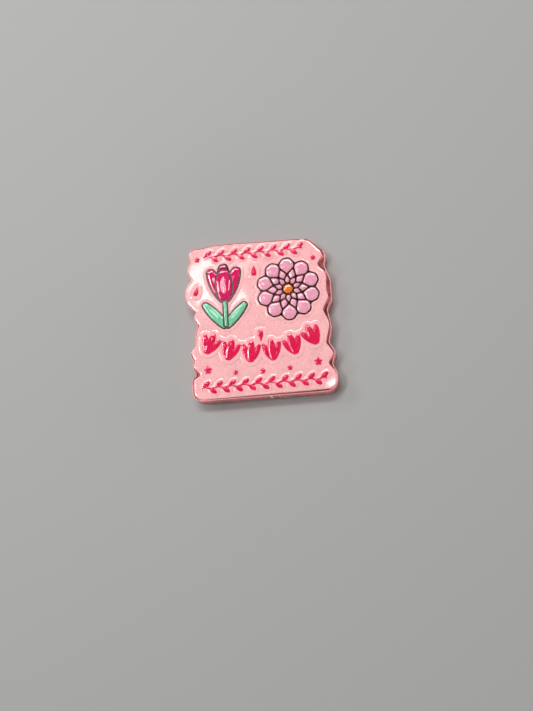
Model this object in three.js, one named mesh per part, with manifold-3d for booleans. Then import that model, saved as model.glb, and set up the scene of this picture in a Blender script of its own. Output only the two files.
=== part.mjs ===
// A die-cut printed charm: a clear acrylic plate with a wavy cut edge and a thin rose sheet on its back.
// Its front carries an opaque printed face, and on that raised glossy ink in a folk pattern of flowers.
// Millimetres, +Z up. The charm lies on its back: X runs along the face, Y up it, and the origin is
// under the middle of the plate.
import * as THREE from "three";
import { mergeVertices } from "three/addons/utils/BufferGeometryUtils.js";
import Module from "manifold-3d";

const wasm = await Module();
wasm.setup();

// Thickness of each layer, from the back to the front.
const SHEET_THICKNESS = 0.4;
const PLATE_THICKNESS = 3.0;
const PRINT_THICKNESS = 0.2;
const HALO_HEIGHT = 0.12;
const KEYLINE_HEIGHT = 0.08;
const INK_HEIGHT = 0.3;

// Height of each layer's underside.
const PLATE_Z = SHEET_THICKNESS;
const PRINT_Z = PLATE_Z + PLATE_THICKNESS;
const HALO_Z = PRINT_Z + PRINT_THICKNESS;
const INK_Z = HALO_Z + HALO_HEIGHT;
const PETAL_Z = INK_Z + KEYLINE_HEIGHT;

// How far the halo and the dark outline reach past the ink that they surround.
const HALO_REACH = 1.05;
const VINE_HALO_REACH = 0.6;
const KEYLINE_REACH = 0.34;
const CROWN_REACH = 0.18; // how far in from its edge the ink's top is rounded down
const SINK = 0.1; // how far a fused relief starts below the face, so that the two join
const PETAL_FULLNESS = 0.9; // share of a petal's sides that the bend between them takes

// Arc subdivisions of an edge, of large ink and of small ink. Each arc takes twice as many chords.
const EDGE_ARCS = 2;
const LARGE_ARCS = 2;
const SMALL_ARCS = 1;
const ROUND_SIDES = 16;

// The plate's cut edge, anticlockwise from the lower left: [x, y, radius of the rounded corner].
const CUT_EDGE = [
  [-16.45, -18.17, 2.2],
  [17.1, -18.42, 2.8],
  [17.1, -14.15, 2],
  [16.15, -12.1, 0.9],
  [17.05, -9.45, 1.1],
  [15.72, -7, 0.9],
  [16.55, -3.7, 3],
  [15.85, 0.65, 1.1],
  [17, 2.75, 1.2],
  [17.1, 7.35, 4],
  [15.8, 11.15, 1.4],
  [16.5, 13.9, 2.2],
  [12.55, 17.8, 2.4],
  [9, 18.05, 6],
  [0.2, 18.22, 6],
  [-3.8, 18.4, 6],
  [-9.8, 18.4, 3],
  [-12.9, 17.95, 1],
  [-16.05, 18.05, 1.9],
  [-15.65, 14.6, 1.5],
  [-16.5, 12.55, 2],
  [-15.5, 10.65, 0.8],
  [-18.45, 6.45, 4.6],
  [-14.75, 2.65, 0.6],
  [-15.45, 1.25, 1.2],
  [-14.5, -0.5, 0.5],
  [-15.05, -2.05, 0.8],
  [-15.4, -5.15, 1],
  [-16.65, -7.15, 0.9],
  [-15.9, -8.75, 0.8],
  [-16.2, -10.25, 1.2],
  [-15.3, -12.05, 1],
  [-16.5, -13.25, 0.9],
];

// The printed face's edge, which dips deeper into each notch than the cut does.
const PRINT_EDGE = [
  [-16.05, -17.9, 2],
  [16.8, -17.8, 1.9],
  [16.85, -14.15, 1.8],
  [15.15, -11.85, 0.7],
  [16.65, -9.65, 0.9],
  [14.95, -7.1, 0.7],
  [16.15, -2.75, 3],
  [14.75, 0.75, 0.7],
  [16.3, 3.35, 1.6],
  [15.85, 5.45, 6],
  [16.1, 9.45, 1.8],
  [14.05, 11.25, 0.8],
  [15.75, 13.9, 1.2],
  [12.55, 17.35, 1.2],
  [9, 17.75, 6],
  [0.2, 17.95, 6],
  [-3.8, 18.15, 6],
  [-9.9, 18.15, 3],
  [-12.9, 17.7, 0.5],
  [-15.75, 17.8, 1.5],
  [-15.35, 14.65, 0.8],
  [-16.2, 12.75, 1.5],
  [-15.05, 10.6, 0.4],
  [-18.1, 6.55, 4],
  [-14.45, 2.65, 0.5],
  [-15.25, 1.35, 1],
  [-14.05, -0.45, 0.5],
  [-14.75, -2.05, 0.8],
  [-15.15, -5.45, 0.6],
  [-16.35, -6.85, 0.9],
  [-15.5, -8.65, 0.5],
  [-16, -10.15, 0.9],
  [-14.2, -12.1, 0.5],
  [-16.05, -13.25, 0.8],
];

// The layered blossom. The petals of each ring start at one of the radii, are widest at the next and end at
// the one after it. Each ring is turned by half a petal, so that its feet sit between the tips inside it.
const BLOSSOM = { x: 7.15, y: 6.2, petals: 10 };
const BLOSSOM_RINGS = ["heart", "middle", "outer"];
const BLOSSOM_RADII = [1.4, 2.3, 3.5, 5.1, 7.3];
const BLOSSOM_SHOULDER = 6.25; // radius of the outer petals' shoulders
const BLOSSOM_TIP = 0.8; // half the width of the outer petals' flat tips
const BLOSSOM_BELLY_BEND = 0.2; // rounding of a petal's widest place, as a share of its radius
const BLOSSOM_BENDS = { foot: 0.4, peak: 0.4, shoulder: 1.2, tip: 1 };
const BLOSSOM_GAP = 0.36; // between two petals
const BLOSSOM_BUTTON_RADIUS = 1.05;

// The tulip: its foot, and its petals, leaves and veins as length, width and lean from upright.
const TULIP = { x: -7.7, y: 4.9 };
const TULIP_STEM = { length: 6.2, width: 0.7 };
const TULIP_FRONT = { length: 7.2, width: 5.2 };
const TULIP_SIDES = [
  { name: "left", length: 8.1, width: 4.2, lean: 24 },
  { name: "right", length: 8.1, width: 4.2, lean: -24 },
];
const TULIP_BACK = { length: 8.5, width: 4.0 };
const TULIP_LEAVES = [
  { name: "left", length: 7.6, width: 3.1, lean: 41 },
  { name: "right", length: 7.0, width: 2.9, lean: -43 },
];
const TULIP_VEINS = [
  { name: "left", x: -1.05, y: 2.1, length: 2.6, lean: 9 },
  { name: "middle", x: 0, y: 1.5, length: 4.1, lean: 0 },
  { name: "right", x: 1.05, y: 2.1, length: 2.6, lean: -9 },
];
const VEIN_WIDTH = 0.34;
const VEIN_HEIGHT = 0.05;

// The garland of large buds, which hangs in an arc under the two flowers.
const GARLAND = { x: 0.1, y: 18.6, radius: 26.4, buds: 6, step: 10.6 };
const BUD = { height: 5.1, front: 2.7, side: 2.15, sideLength: 4.3, lean: 24, spread: 0.23, lift: 0.31 };
const BUD_SIDE_HEIGHT = 0.2; // the side petals stand lower than the front one

// The two leafy vines, one along the top and one along the bottom.
const VINES = [
  { name: "top_vine", from: -12.2, to: 11.0, y: 15.65, leaves: 15 },
  { name: "bottom_vine", from: -14.2, to: 14.6, y: -15.3, leaves: 19 },
];
const VINE = { width: 0.46, swing: 0.22, steps: 2, leaf: 1.9, leafWidth: 1.3, lean: 38 };

// Small ink marks between the larger ones, which are part of the printed face's relief.
const DROPS = [
  { x: -0.55, y: 11.3, length: 2.4, width: 1.5, lean: 0 },
  { x: -14.3, y: 7.6, length: 2.2, width: 1.3, lean: -20 },
  { x: 0.1, y: -4.2, length: 2.6, width: 1.6, lean: 180 },
];
const FLORETS = [
  { x: -13.75, y: 15.2, radius: 0.9 },
  { x: 13.35, y: 13.1, radius: 0.8 },
  { x: -12.6, y: -11.1, radius: 1.25 },
  { x: 12.9, y: -11.3, radius: 1.25 },
  { x: -6.2, y: -12.2, radius: 0.8 },
  { x: 6.4, y: -12.2, radius: 0.8 },
  { x: 0.1, y: -12.4, radius: 0.9 },
];
const FLORET_LOBES = 5;
const FLORET_WAIST = 0.5; // the notches' radius, as a share of the flower's
const FLORET_TIP = 1.15; // the same for the corners that round off into the lobes
const FLORET_BEND = 0.28; // the rounding of those corners, as a share too

const material = (color, roughness, opacity = 1) =>
  new THREE.MeshStandardMaterial({ color, roughness, opacity, transparent: opacity < 1 });
const CLEAR = material(0xe9dcdc, 0.05, 0.35);
const ROSE = material(0xc85a64, 0.4);
const PINK = material(0xf8b8b9, 0.35);
const CRIMSON = material(0xe2194f, 0.22);
const ORCHID = material(0xea9fb9, 0.25);
const MAGENTA = material(0xd41d60, 0.22);
const WINE = material(0xc60c5e, 0.22);
const MINT = material(0x75c7a0, 0.25);
const AMBER = material(0xec7928, 0.25);
const BLUSH = material(0xfc8ca8, 0.25);
const BLACK = material(0x241814, 0.3);

const charm = new THREE.Group();

function addMesh(name, geometry, inMaterial) {
  const mesh = new THREE.Mesh(geometry, inMaterial);
  mesh.name = name;
  charm.add(mesh);
}

// A closed outline through corners of [x, y, radius], straight between them and rounded by an arc at each.
function roundedShape(corners) {
  const shape = new THREE.Shape();
  corners.forEach(([x, y, radius], i) => {
    const before = corners.at(i - 1);
    const after = corners[(i + 1) % corners.length];
    const incoming = new THREE.Vector2(x - before[0], y - before[1]).normalize();
    const outgoing = new THREE.Vector2(after[0] - x, after[1] - y).normalize();
    const turn = Math.atan2(incoming.cross(outgoing), incoming.dot(outgoing));
    const side = Math.sign(turn);
    const reach = radius * Math.tan(Math.abs(turn) / 2);
    const centreX = x - incoming.x * reach - incoming.y * radius * side;
    const centreY = y - incoming.y * reach + incoming.x * radius * side;
    const start = Math.atan2(incoming.y, incoming.x) - (side * Math.PI) / 2;
    shape.absarc(centreX, centreY, radius, start, start + turn, turn < 0);
  });
  return shape;
}

// The same corners, turned by lean degrees to the left and moved to x, y.
function placed(corners, x, y, lean = 0) {
  const angle = THREE.MathUtils.degToRad(lean);
  const [c, s] = [Math.cos(angle), Math.sin(angle)];
  return corners.map(([u, v, radius]) => [x + u * c - v * s, y + u * s + v * c, radius]);
}

// Corners of a convex outline pushed outwards by reach, with their roundings grown to match.
function grown(corners, reach) {
  return corners.map(([x, y, radius], i) => {
    const before = corners.at(i - 1);
    const after = corners[(i + 1) % corners.length];
    const incoming = new THREE.Vector2(x - before[0], y - before[1]).normalize();
    const outgoing = new THREE.Vector2(after[0] - x, after[1] - y).normalize();
    const push = reach / (1 + incoming.dot(outgoing));
    const outX = (incoming.y + outgoing.y) * push;
    const outY = -(incoming.x + outgoing.x) * push;
    return [x + outX, y + outY, radius + reach];
  });
}

// A petal or leaf that points along +Y from its foot, widest at a share of its length. The bend of its
// sides there is an arc that takes most of them.
function petal(length, width, belly = 0.5, foot = 0.4 * width, tip = 0.3 * width) {
  const [footRadius, tipRadius] = [0.3 * foot, 0.45 * tip];
  const lower = new THREE.Vector2((width - foot) / 2, belly * length);
  const upper = new THREE.Vector2((tip - width) / 2, (1 - belly) * length);
  const lowerFree = lower.length() - footRadius * Math.tan(lower.angle() / 2);
  const upperFree = upper.length() - tipRadius * Math.tan((Math.PI - upper.angle()) / 2);
  const turn = upper.angle() - lower.angle();
  const bend = (PETAL_FULLNESS * Math.min(lowerFree, upperFree)) / Math.tan(turn / 2);
  return [
    [foot / 2, 0, footRadius],
    [width / 2, belly * length, bend],
    [tip / 2, length, tipRadius],
    [-tip / 2, length, tipRadius],
    [-width / 2, belly * length, bend],
    [-foot / 2, 0, footRadius],
  ];
}

// A straight bar that points along +Y from its foot.
function bar(length, width) {
  const radius = 0.3 * width;
  return [
    [width / 2, 0, radius],
    [width / 2, length, radius],
    [-width / 2, length, radius],
    [-width / 2, 0, radius],
  ];
}

// The cell that a petal of the blossom fills, pointing along +Y from the blossom's middle. Each cell shares
// its sides with the cells round it.
function blossomCell(ring) {
  const angle = Math.PI / BLOSSOM.petals;
  const [foot, belly, tip] = BLOSSOM_RADII.slice(ring, ring + 3);
  const beside = (radius, bend) => [Math.sin(angle) * radius, Math.cos(angle) * radius, bend];
  const innermost = ring === 0;
  const outermost = ring === BLOSSOM_RINGS.length - 1;
  const foots = innermost ? [beside(foot, BLOSSOM_BENDS.foot)] : [];
  const shoulder = beside(BLOSSOM_SHOULDER, BLOSSOM_BENDS.shoulder);
  const tips = outermost ? [shoulder, [BLOSSOM_TIP, tip, BLOSSOM_BENDS.tip]] : [];
  const right = [...foots, beside(belly, BLOSSOM_BELLY_BEND * belly), ...tips];
  const left = right.toReversed().map(([x, y, bend]) => [-x, y, bend]);
  const bottom = innermost ? [] : [[0, foot, BLOSSOM_BENDS.foot]];
  const top = outermost ? [] : [[0, tip, BLOSSOM_BENDS.peak]];
  return [...bottom, ...right, ...top, ...left];
}

// The blossom's edge pushed outwards by reach: the outer petals' flat tips, and the notches between them.
function blossomEdge(reach) {
  const step = 360 / BLOSSOM.petals;
  const tip = BLOSSOM_RADII.at(-1);
  const corners = Array.from({ length: BLOSSOM.petals }, (_, i) => [
    ...placed([[0, BLOSSOM_SHOULDER, 0]], 0, 0, (i - 0.5) * step),
    ...placed([[BLOSSOM_TIP, tip, BLOSSOM_BENDS.tip]], 0, 0, i * step),
    ...placed([[-BLOSSOM_TIP, tip, BLOSSOM_BENDS.tip]], 0, 0, i * step),
  ]).flat();
  return placed(grown(corners, reach), BLOSSOM.x, BLOSSOM.y);
}

// A round outline, as a polygon.
function round(radius) {
  return Array.from({ length: ROUND_SIDES }, (_, i) => {
    const angle = (2 * Math.PI * i) / ROUND_SIDES;
    return [Math.cos(angle) * radius, Math.sin(angle) * radius, 0];
  });
}

// A small leaf that points along +Y from its foot, with flat sides and ends.
function leaflet(length, width) {
  const end = 0.2 * width;
  return [
    [end, 0, 0],
    [width / 2, length / 2, 0],
    [end, length, 0],
    [-end, length, 0],
    [-width / 2, length / 2, 0],
    [-end, 0, 0],
  ];
}

// A small flower's outline: rounded lobes with a sharp notch between each two.
function floret(radius) {
  return Array.from({ length: 2 * FLORET_LOBES }, (_, i) => {
    const angle = (i * Math.PI) / FLORET_LOBES;
    const out = radius * (i % 2 ? FLORET_WAIST : FLORET_TIP);
    return [-Math.sin(angle) * out, Math.cos(angle) * out, i % 2 ? 0 : radius * FLORET_BEND];
  });
}

// A flat layer with upright sides.
function slab(corners, bottom, height, arcs) {
  const options = { depth: height, bevelEnabled: false, curveSegments: arcs };
  return new THREE.ExtrudeGeometry(roundedShape(corners), options).translate(0, 0, bottom);
}

// Ink with a rounded top edge. The bevel that the extrusion also makes below is pressed flat.
function crowned(corners, bottom, height, arcs) {
  const geometry = new THREE.ExtrudeGeometry(roundedShape(corners), {
    depth: height / 2,
    bevelThickness: height / 2,
    bevelSize: CROWN_REACH,
    bevelOffset: -CROWN_REACH,
    bevelSegments: 1,
    curveSegments: arcs,
  });
  const points = geometry.getAttribute("position");
  for (let i = 0; i < points.count; i++) points.setZ(i, Math.max(points.getZ(i), 0));
  return geometry.translate(0, 0, bottom);
}

function solidOf(geometry) {
  const bare = new THREE.BufferGeometry().setAttribute("position", geometry.getAttribute("position"));
  bare.setIndex(geometry.index);
  const merged = mergeVertices(bare, 1e-3);
  const vertProperties = merged.getAttribute("position").array;
  const triVerts = new Uint32Array(merged.index.array);
  return new wasm.Manifold(new wasm.Mesh({ numProp: 3, vertProperties, triVerts }));
}

function geometryOf(solid) {
  const mesh = solid.getMesh();
  const geometry = new THREE.BufferGeometry();
  geometry.setAttribute("position", new THREE.Float32BufferAttribute(mesh.vertProperties, 3));
  geometry.setIndex(new THREE.Uint32BufferAttribute(mesh.triVerts, 1));
  geometry.computeVertexNormals();
  return geometry;
}

// One closed body out of several that overlap.
function fused(geometries) {
  return geometryOf(geometries.map(solidOf).reduce((whole, next) => whole.add(next)));
}

// A body with the others cut out of it.
function cutBy(geometry, cutters) {
  return geometryOf(cutters.map(solidOf).reduce((left, next) => left.subtract(next), solidOf(geometry)));
}

// The outlines of the blossom's petals, ring by ring.
function blossomPetals() {
  return BLOSSOM_RINGS.flatMap((name, ring) => {
    const shape = grown(blossomCell(ring), -BLOSSOM_GAP / 2);
    return Array.from({ length: BLOSSOM.petals }, (_, i) => ({
      name: `blossom_${name}_petal_${i + 1}`,
      ring: name,
      corners: placed(shape, BLOSSOM.x, BLOSSOM.y, ((i + ring / 2) * 360) / BLOSSOM.petals),
    }));
  });
}

function addBlossom(petals) {
  const edge = blossomEdge(KEYLINE_REACH - BLOSSOM_GAP / 2);
  addMesh("blossom_outline", slab(edge, INK_Z, KEYLINE_HEIGHT, SMALL_ARCS), BLACK);
  for (const { name, ring, corners } of petals) {
    const solid = ring === "outer" ? crowned : slab;
    addMesh(name, solid(corners, PETAL_Z, INK_HEIGHT, SMALL_ARCS), ORCHID);
  }
  const button = placed(round(BLOSSOM_BUTTON_RADIUS), BLOSSOM.x, BLOSSOM.y);
  addMesh("blossom_button", slab(button, PETAL_Z, INK_HEIGHT, LARGE_ARCS), AMBER);
}

// The outlines of the tulip's parts, each whole, as if nothing lay over it.
function tulipParts() {
  const { x, y } = TULIP;
  const { length, width } = TULIP_STEM;
  const side = ({ length: long, width: wide, lean }) => placed(petal(long, wide, 0.55), x, y, lean);
  const leaf = ({ length: long, width: wide, lean }) => placed(petal(long, wide), x, y - length, lean);
  return {
    front: placed(petal(TULIP_FRONT.length, TULIP_FRONT.width, 0.45), x, y),
    sides: TULIP_SIDES.map(side),
    back: placed(petal(TULIP_BACK.length, TULIP_BACK.width, 0.6), x, y),
    stem: placed(bar(length, width), x, y - length),
    leaves: TULIP_LEAVES.map(leaf),
  };
}

// Each part stops short of the parts in front of it, so that the dark outline shows between the two.
function addTulip({ front, sides, back, stem, leaves }) {
  const all = [front, ...sides, back, stem, ...leaves];
  const rims = all.map((corners) => grown(corners, KEYLINE_REACH));
  const plates = rims.map((corners) => slab(corners, INK_Z, KEYLINE_HEIGHT, SMALL_ARCS));
  const ink = (corners) => crowned(corners, PETAL_Z, INK_HEIGHT, LARGE_ARCS);
  const cutter = (corners) => slab(grown(corners, KEYLINE_REACH), INK_Z, 2 * INK_HEIGHT, LARGE_ARCS);
  addMesh("tulip_outline", fused(plates), BLACK);
  addMesh("tulip_front_petal", ink(front), MAGENTA);
  sides.forEach((corners, i) => {
    addMesh(`tulip_${TULIP_SIDES[i].name}_petal`, cutBy(ink(corners), [cutter(front)]), MAGENTA);
  });
  addMesh("tulip_back_petal", cutBy(ink(back), [front, ...sides].map(cutter)), WINE);
  const stalk = slab(stem, PETAL_Z, INK_HEIGHT, SMALL_ARCS);
  addMesh("tulip_stem", cutBy(stalk, [cutter(front)]), MINT);
  leaves.forEach((corners, i) => {
    addMesh(`tulip_${TULIP_LEAVES[i].name}_leaf`, cutBy(ink(corners), [cutter(stem)]), MINT);
  });
  for (const { name, x, y, length, lean } of TULIP_VEINS) {
    const corners = placed(bar(length, VEIN_WIDTH), TULIP.x + x, TULIP.y + y, lean);
    addMesh(`tulip_${name}_vein`, slab(corners, PETAL_Z + INK_HEIGHT, VEIN_HEIGHT, SMALL_ARCS), BLUSH);
  }
}

// The three overlapping petals of each large bud, which fans out from its foot on the garland's arc.
function garlandBuds() {
  const side = petal(BUD.sideLength, BUD.side, 0.58);
  const shapes = [
    petal(BUD.height, BUD.front),
    placed(side, -BUD.spread, BUD.lift, BUD.lean),
    placed(side, BUD.spread, BUD.lift, -BUD.lean),
  ];
  return Array.from({ length: GARLAND.buds }, (_, i) => {
    const lean = (i - (GARLAND.buds - 1) / 2) * GARLAND.step;
    const angle = THREE.MathUtils.degToRad(lean);
    const x = GARLAND.x + Math.sin(angle) * GARLAND.radius;
    const y = GARLAND.y - Math.cos(angle) * GARLAND.radius;
    return shapes.map((corners) => placed(placed(corners, 0, -BUD.height / 2), x, y, lean));
  });
}

function addGarland(buds) {
  buds.forEach(([front, ...sides], i) => {
    const lower = sides.map((corners) => slab(corners, INK_Z, BUD_SIDE_HEIGHT, SMALL_ARCS));
    const middle = crowned(front, INK_Z, INK_HEIGHT, LARGE_ARCS);
    addMesh(`garland_bud_${i + 1}`, fused([middle, ...lower]), CRIMSON);
  });
}

// The band that a vine lies in.
function vineBand({ from, to, y }) {
  const half = VINE.leaf * Math.sin(THREE.MathUtils.degToRad(VINE.lean));
  const bend = 0.8 * half;
  return [
    [from, y - half, bend],
    [to, y - half, bend],
    [to, y + half, bend],
    [from, y + half, bend],
  ];
}

// A wavy stem and the leaves that spring from its two sides in turn.
function addVine({ name, from, to, y, leaves }) {
  const pitch = (to - from) / leaves;
  const wave = (x) => y + VINE.swing * Math.sin((Math.PI * (x - from)) / pitch);
  const middle = Array.from({ length: leaves * VINE.steps + 1 }, (_, i) => from + (i * pitch) / VINE.steps);
  const stem = [
    ...middle.map((x) => [x, wave(x) - VINE.width / 2, 0]),
    ...middle.toReversed().map((x) => [x, wave(x) + VINE.width / 2, 0]),
  ];
  const leafOutlines = Array.from({ length: leaves }, (_, i) => {
    const x = from + pitch * (i + 0.25);
    const lean = -90 + (i % 2 ? -VINE.lean : VINE.lean);
    return placed(leaflet(VINE.leaf, VINE.leafWidth), x, wave(x), lean);
  });
  const bodies = [stem, ...leafOutlines].map((corners) => slab(corners, INK_Z, INK_HEIGHT, SMALL_ARCS));
  addMesh(name, fused(bodies), CRIMSON);
}

// The small marks' outlines.
function smallMarks() {
  const drops = DROPS.map(({ x, y, length, width, lean }) => {
    const shape = petal(length, width, 0.35, 0.6 * width, 0.1 * width);
    return placed(placed(shape, 0, -length / 2), x, y, lean);
  });
  const florets = FLORETS.map(({ x, y, radius }) => placed(floret(radius), x, y));
  return { drops, florets };
}

// The opaque face, with a low halo under each group of ink and the small marks in relief.
function addPrintedFace(haloOutlines, { drops, florets }) {
  const depth = SINK + HALO_HEIGHT;
  const face = slab(PRINT_EDGE, PRINT_Z, PRINT_THICKNESS, EDGE_ARCS);
  const halos = haloOutlines.map((corners) => slab(corners, HALO_Z - SINK, depth, SMALL_ARCS));
  const marks = [...drops, ...florets].map((corners) =>
    slab(corners, HALO_Z - SINK, depth + INK_HEIGHT, SMALL_ARCS),
  );
  addMesh("printed_face", fused([face, ...halos, ...marks]), PINK);
}

const petals = blossomPetals();
const tulip = tulipParts();
const buds = garlandBuds();
const marks = smallMarks();
const haloed = [
  tulip.front,
  ...tulip.sides,
  tulip.back,
  tulip.stem,
  ...tulip.leaves,
  ...buds.flat(),
  ...marks.drops,
];
const halos = [
  blossomEdge(HALO_REACH - BLOSSOM_GAP / 2),
  ...haloed.map((corners) => grown(corners, HALO_REACH)),
  ...VINES.map((vine) => grown(vineBand(vine), VINE_HALO_REACH)),
];

addMesh("back_sheet", slab(CUT_EDGE, 0, SHEET_THICKNESS, EDGE_ARCS), ROSE);
addMesh("acrylic_plate", slab(CUT_EDGE, PLATE_Z, PLATE_THICKNESS, EDGE_ARCS), CLEAR);
addPrintedFace(halos, marks);
addBlossom(petals);
addTulip(tulip);
addGarland(buds);
VINES.forEach(addVine);

export default charm;
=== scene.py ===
"""A small die-cut charm: clear acrylic with a tinted back, an opaque printed face and raised glossy ink.

Lengths in the tables are millimetres, in the part's own frame: the charm lies on its back, X runs along the
face, Y up it and Z out of it.
"""

from __future__ import annotations

import logging
import math
from dataclasses import dataclass, field
from enum import Enum
from typing import ClassVar

import bmesh
import bpy
from mathutils import Matrix, Vector

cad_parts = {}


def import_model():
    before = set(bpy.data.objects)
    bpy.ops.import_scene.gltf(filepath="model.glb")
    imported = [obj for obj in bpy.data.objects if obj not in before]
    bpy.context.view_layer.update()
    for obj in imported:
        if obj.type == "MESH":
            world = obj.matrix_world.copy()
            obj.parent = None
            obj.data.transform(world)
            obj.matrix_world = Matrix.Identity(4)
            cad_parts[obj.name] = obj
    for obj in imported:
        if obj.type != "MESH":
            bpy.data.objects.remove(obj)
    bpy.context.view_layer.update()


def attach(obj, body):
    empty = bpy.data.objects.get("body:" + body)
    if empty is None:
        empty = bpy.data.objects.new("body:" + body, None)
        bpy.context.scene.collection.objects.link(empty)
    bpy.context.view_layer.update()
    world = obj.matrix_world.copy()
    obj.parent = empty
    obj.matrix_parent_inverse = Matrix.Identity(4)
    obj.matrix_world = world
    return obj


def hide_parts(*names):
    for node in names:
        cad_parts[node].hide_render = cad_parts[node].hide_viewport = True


LOG = logging.getLogger("charm")
MM = 0.001

Corner = tuple[float, float, float]
Colour = tuple[float, float, float]
Source = bpy.types.NodeSocket | float | tuple[float, ...]


class Operation(Enum):
    """How one solid is combined with another."""

    UNION = "UNION"
    DIFFERENCE = "DIFFERENCE"


# Heights of the layers


@dataclass(frozen=True)
class Layers:
    """The height of each layer's top above the back, and how far the layers overlap.

    Attributes:
        sheet: top of the back sheet.
        plate: top of the clear plate.
        face: top of the printed face.
        halo: top of the low halo round the ink.
        keyline: top of the dark outline.
        petal: top of ink that stands on the dark outline.
        bite: how far one layer reaches into the next, so that no two faces coincide.
    """

    sheet: float = 0.4
    plate: float = 3.4
    face: float = 3.6
    halo: float = 3.72
    keyline: float = 3.8
    petal: float = 4.1
    bite: float = 0.02


LAYERS = Layers()
LARGE_FACE = 6.0  # square millimetres from which a face is shaded flat
FLAT = 0.999  # upright share of its normal past which a face counts as level
HALO_REACH = 1.05  # how far the halo reaches past the ink
VINE_HALO_REACH = 0.6  # how far it reaches past a vine
KEYLINE_REACH = 0.34  # how far the dark outline reaches past the ink


# Outlines


@dataclass(frozen=True)
class Outline:
    """A closed outline of anticlockwise corners.

    Attributes:
        corners: x, y and the radius that rounds each.
        lean: how far the outline's own length leans to the left of the part's Y, in degrees.
    """

    corners: tuple[Corner, ...]
    lean: float = 0.0

    def placed(self, x: float, y: float, lean: float = 0.0) -> "Outline":
        """Turns the outline and moves it.

        Args:
            x: where the outline's own origin goes.
            y: where the outline's own origin goes.
            lean: turn to the left, in degrees.

        Returns:
            The moved outline.
        """
        cos, sin = math.cos(math.radians(lean)), math.sin(math.radians(lean))
        moved = tuple((x + u * cos - v * sin, y + u * sin + v * cos, r) for u, v, r in self.corners)
        return Outline(moved, self.lean + lean)

    def extent(self) -> tuple[Vector, Vector]:
        """Measures the outline across and along its own length.

        Returns:
            Its middle, and half its width and length.
        """
        turn = Matrix.Rotation(math.radians(-self.lean), 2)
        points = [turn @ Vector((x, y)) for x, y, _ in self.corners]
        low = Vector(min(point[axis] for point in points) for axis in (0, 1))
        high = Vector(max(point[axis] for point in points) for axis in (0, 1))
        return turn.transposed() @ ((low + high) / 2), (high - low) / 2

    def starlike(self) -> bool:
        """Tells whether all of the outline can be seen from its middle.

        Returns:
            True if it can.
        """
        middle, _ = self.extent()
        points = [Vector((x, y)) - middle for x, y, _ in self.corners]
        return all(point.cross(points[index - 1]) < 0 for index, point in enumerate(points))

    def directions(self, index: int) -> tuple[Vector, Vector]:
        """Finds the ways in and out of a corner.

        Args:
            index: the corner's place in the list.

        Returns:
            Unit vectors along the side before the corner and the side after it.
        """
        before, here = self.corners[index - 1], self.corners[index]
        after = self.corners[(index + 1) % len(self.corners)]
        incoming = Vector((here[0] - before[0], here[1] - before[1])).normalized()
        outgoing = Vector((after[0] - here[0], after[1] - here[1])).normalized()
        return incoming, outgoing

    def grown(self, reach: float) -> "Outline":
        """Pushes the outline outwards.

        Args:
            reach: distance to push each side.

        Returns:
            The larger outline, its roundings grown to match.
        """
        corners = []
        for index, (x, y, radius) in enumerate(self.corners):
            incoming, outgoing = self.directions(index)
            push = reach / (1 + incoming.dot(outgoing))
            corners.append(
                (x + (incoming.y + outgoing.y) * push, y - (incoming.x + outgoing.x) * push, radius + reach)
            )
        return Outline(tuple(corners), self.lean)

    def trace(self, mesh: bmesh.types.BMesh, height: float, segments: int) -> bmesh.types.BMFace:
        """Lays the outline down as one flat face with rounded corners.

        Args:
            mesh: the mesh to add to, empty until now.
            height: the face's height.
            segments: steps in each rounded corner.

        Returns:
            The new face.
        """
        points = [mesh.verts.new((x * MM, y * MM, height * MM)) for x, y, _ in self.corners]
        mesh.faces.new(points)
        for index, point in enumerate(points):
            radius = self.corners[index][2]
            if radius > 0:
                incoming, outgoing = self.directions(index)
                turn = abs(incoming.angle_signed(outgoing))
                bmesh.ops.bevel(
                    mesh,
                    geom=[point],
                    offset=radius * math.tan(turn / 2) * MM,
                    offset_type="OFFSET",
                    affect="VERTICES",
                    segments=segments,
                    profile=0.5,
                    material=-1,
                )
        mesh.faces.ensure_lookup_table()
        return mesh.faces[0]


PETAL_FOOT = 0.4  # a petal's foot and tip, as shares of its width
PETAL_TIP = 0.3
FOOT_BEND = 0.3  # roundings of its foot's and tip's corners, as shares of their widths
TIP_BEND = 0.45
PETAL_FULLNESS = 0.9  # share of its sides that the bend between them takes
BAR_BEND = 0.45  # rounding of a bar's ends, as a share of its width
LEAFLET_END = 0.2  # half the width of a leaflet's ends, and its roundings, as shares of its width
LEAFLET_END_BEND = 0.15
LEAFLET_BEND = 0.8
LOBE = (1.15, 0.28)  # how far out a floret's corners lie, and their rounding, as shares of its radius
NOTCH = (0.5, 0.05)
ALONG = -90  # turn that points an outline along +X, in degrees


def symmetric(right: list[Corner]) -> Outline:
    """Closes an outline whose left side mirrors its right.

    Args:
        right: the right side's corners, from the foot up.

    Returns:
        The outline.
    """
    left = [(-x, y, radius) for x, y, radius in reversed(right)]
    return Outline((*right, *left))


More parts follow.
